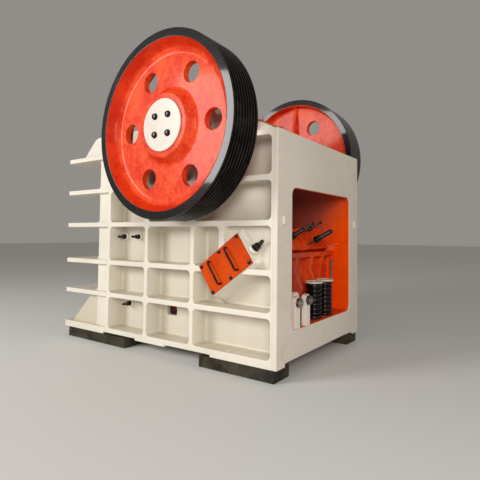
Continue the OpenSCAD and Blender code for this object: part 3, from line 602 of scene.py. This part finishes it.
def spring(foot):
    """A coil with a closed ring at each end, round a dark core."""
    bm = bmesh.new()
    section = [(COIL + WIRE * cos(a * pi / 8), WIRE * sin(a * pi / 8)) for a in range(16)]
    for z in (WIRE, SPRING_HEIGHT - WIRE):
        ring = turned([(r, z + rise) for r, rise in section], 40, closed=True)
        add(bm, ring, Matrix.Translation(foot))
    coil = bmesh.new()
    bmesh.ops.create_circle(coil, cap_ends=False, segments=16, radius=WIRE / 1000,
                            matrix=moved((COIL / 1000, 0, WIRE / 1000), Matrix.Rotation(pi / 2, 4, "X")))
    pitch = (SPRING_HEIGHT - 2 * WIRE) / 1000 / TURNS
    bmesh.ops.spin(coil, geom=list(coil.verts) + list(coil.edges), cent=(0, 0, 0), axis=(0, 0, 1),
                   angle=2 * pi * TURNS, steps=TURNS * STEPS, dvec=(0, 0, pitch / STEPS), use_duplicate=False)
    bmesh.ops.recalc_face_normals(coil, faces=coil.faces)
    add(bm, coil, Matrix.Translation(foot))
    core = turned([(0, 2), (50, 2), (50, SPRING_HEIGHT - 4), (0, SPRING_HEIGHT - 4)], 40)
    add(bm, core, Matrix.Translation(foot))
    return bm


def plate_top(p, n, foot):
    """Whether a point is on the dished top of a spring's plate."""
    return n.z > 0.5 and p.z > 0.6 and ((p.x - foot.x) ** 2 + (p.y - foot.y) ** 2) ** 0.5 < 0.0655


for y, name in ((0, "front"), (192, "back")):
    foot = at(-95, y, 228)
    keep(spring(foot), "spring_coil_" + name, "frame", black_gloss, replaces=["spring_" + name], smooth=50)
    bm = bmesh.new()
    add(bm, turned(PLATE, 64), moved(foot, lift=SPRING_HEIGHT))
    # The dished tops of the spring plates take the greyed cream.
    paint_faces(bm, 1, lambda p, n: plate_top(p, n, foot))
    keep(bm, "spring_plate_" + name, "frame", cap_cream, plate_grey_top, replaces=["spring_disc_" + name])

bm = solid_of("sill_lugs")
soften(bm, True, 4, None, 40)
keep(bm, "sill_lug_plates", "frame", cast, replaces=["sill_lugs"], even=True)
bm = bmesh.new()
for y in (-410, -263):
    place = at(-2, y, 417)
    add(bm, stud(13, 98, 0, 4), moved(place, ALONG_X, lift=-60))
    add(bm, washer(37, 14, 7), moved(place, ALONG_X))
    add(bm, hexagon(58, 22, 6), moved(place, ALONG_X, 11, 7))
    add(bm, washer(30, 14, 5), moved(place, ALONG_X, lift=-54))
keep(bm, "sill_lug_bolt_nuts", "frame", zinc, replaces=["sill_lug_bolts"], smooth=30)

# The block rails take the orange with the painted highlight.
for node, width, finish in (("toggle_beam", 5, beam_orange), ("block_rails", 3, rail_orange_lit),
                            ("adjusting_block", 8, inside_orange)):
    bm = solid_of(node)
    soften(bm, True, width)
    keep(bm, node + "_weldment", "frame", finish, replaces=[node], even=True)

# Each adjusting screw: its place across the beam and above the slope, then the size, start and length
# of its bars, nuts and ring.
SCREW_TURN = Matrix.Rotation(radians(-27.5), 4, "Y")
SCREWS = (
    (-150, -7, (("bar", 8, 4, 232), ("bar", 18, 20, 130), ("nut", 54, 20, 30), ("nut", 24, 236, 14))),
    (150, 52, (("bar", 8, 4, 162), ("bar", 19, 38, 38), ("nut", 40, 38, 14), ("nut", 24, 164, 14))),
    (100, -72, (("bar", 8, 4, 96), ("bar", 19, 77, 178), ("nut", 56, 77, 30), ("ring", 31, 122, 7))),
)


def screw_part(kind, size, length):
    """A threaded bar or a ring by its radius, or a nut by its width across flats."""
    if kind == "bar":
        return stud(size, length, 4, 5)
    return hexagon(size, length) if kind == "nut" else washer(size, 12, length)


bm = bmesh.new()
for y, v, parts in SCREWS:
    base = moved(at(-240, 0, 890), SCREW_TURN) @ moved((0, y / 1000, v / 1000), ALONG_X)
    for kind, size, start, length in parts:
        add(bm, screw_part(kind, size, length), base @ moved(lift=start))
keep(bm, "adjusting_screw_bars", "frame", screw_black, replaces=["adjusting_screws"], smooth=30)


# Bearings, jaws and shaft

HOUSING_BORE = 0.13
HOUSING_BOLTS, HOUSING_FOOT = 285, 1817
COVER_CIRCLE = 0.182
for side, name, turn in SIDES:
    for node, width in (("bearing_housing_", 8), ("bearing_cover_", 5)):
        bm = solid_of(node + name)
        soften(bm, True, width, lambda p, e: from_shaft(p) > HOUSING_BORE)
        keep(bm, node + "cast_" + name, "frame", cast, replaces=[node + name], even=True)
    bm = bmesh.new()
    for x in (SHAFT_X - HOUSING_BOLTS, SHAFT_X + HOUSING_BOLTS):
        for y in (545, 640):
            add(bm, washer(26, 12, 5), moved(at(x, side * y, HOUSING_FOOT)))
            add(bm, hexagon(40, 26), moved(at(x, side * y, HOUSING_FOOT + 5), None, y))
            add(bm, stud(13, 58, 20, 4), moved(at(x, side * y, HOUSING_FOOT)))
    for index in range(8):
        angle = radians(22.5 + 45 * index)
        place = SHAFT + Vector((COVER_CIRCLE * cos(angle), side * 0.719, COVER_CIRCLE * sin(angle)))
        add(bm, hexagon(24, 14, 1.5), moved(place, turn, 30 * index))
    keep(bm, "bearing_bolts_" + name, "frame", black_steel, slot="cover_handles_" + name, smooth=30)

CORNERS = ("front_near", "front_far", "rear_near", "rear_far")
for node, name, finish, width in (
        ("swing_jaw", "swing_jaw_cast", inside_orange, 12),
        ("swing_jaw_plate", "moving_tooth_plate", jaw_steel, 4),
        ("fixed_jaw_plate", "fixed_tooth_plate", jaw_steel, 4),
        ("jaw_plate_clamp", "clamp_bar", jaw_steel, 5),
        ("side_liner_near", "side_liner_plate_near", jaw_steel, 4),
        ("side_liner_far", "side_liner_plate_far", jaw_steel, 4),
        ("toggle_plate", "toggle_slab", black_steel, 6),
        ("shaft", "shaft_bar", turned_steel, 3),
        *(("support_block_" + corner, "skid_" + corner, blocks, 4) for corner in CORNERS)):
    bm = solid_of(node)
    soften(bm, True, width)
    keep(bm, name, "rotor" if node == "shaft" else "frame", finish, replaces=[node], even=True)

wear(nodes["grease_pipe"], pipe_paint)


# Camera at the photograph's viewing angle

YAW, PITCH, ROLL = radians(32.422), radians(2.583), radians(0.406)
STANDPOINT = (2.769, -2.995, 0.993)
ahead = Vector((-sin(YAW), cos(YAW), 0))
level = Vector((cos(YAW), sin(YAW), 0))
forward = cos(PITCH) * ahead + sin(PITCH) * Vector((0, 0, 1))
upward = -sin(PITCH) * ahead + cos(PITCH) * Vector((0, 0, 1))
right = cos(ROLL) * level + sin(ROLL) * upward
top = -sin(ROLL) * level + cos(ROLL) * upward
eye = bpy.data.cameras.new("eye")
eye.sensor_width, eye.lens = 36, 30.80
eye.shift_x, eye.shift_y = -0.0932, -0.0494
camera = bpy.data.objects.new("camera", eye)
looking = Matrix((right, top, -forward)).transposed().to_4x4()
camera.matrix_world = Matrix.Translation(STANDPOINT) @ looking
scene.collection.objects.link(camera)
scene.camera = camera


# Floor and light

floor = bpy.data.objects.new("floor", bpy.data.meshes.new("floor"))
bm = bmesh.new()
bmesh.ops.create_grid(bm, x_segments=1, y_segments=1, size=40)
bm.to_mesh(floor.data)
bm.free()
scene.collection.objects.link(floor)
wear(floor, Finish("floor_paint", (0.72, 0.72, 0.71), 0.85))

world = bpy.data.worlds.new("studio")
world.use_nodes = True
sky = world.node_tree.nodes["Background"].inputs
sky["Color"].default_value = (0.98, 0.93, 0.87, 1)
sky["Strength"].default_value = 0.29
scene.world = world


def lamp(name, place, watts, colour, aim=(0, 0, 1), size=2.6):
    """A square lamp at a place, aimed at the machine's middle."""
    light = bpy.data.lights.new(name, "AREA")
    light.shape, light.size, light.energy, light.color = "SQUARE", size, watts, colour
    holder = bpy.data.objects.new(name, light)
    towards = (Vector(aim) - Vector(place)).to_track_quat("-Z", "Y").to_matrix().to_4x4()
    holder.matrix_world = Matrix.Translation(place) @ towards
    scene.collection.objects.link(holder)


lamp("key", (-3.5, -6.5, 3.5), 300, (1, 0.99, 0.97))
lamp("side", (5.4, -6.0, 2.8), 290, (1, 0.97, 0.93))

scene.view_settings.view_transform = "Standard"
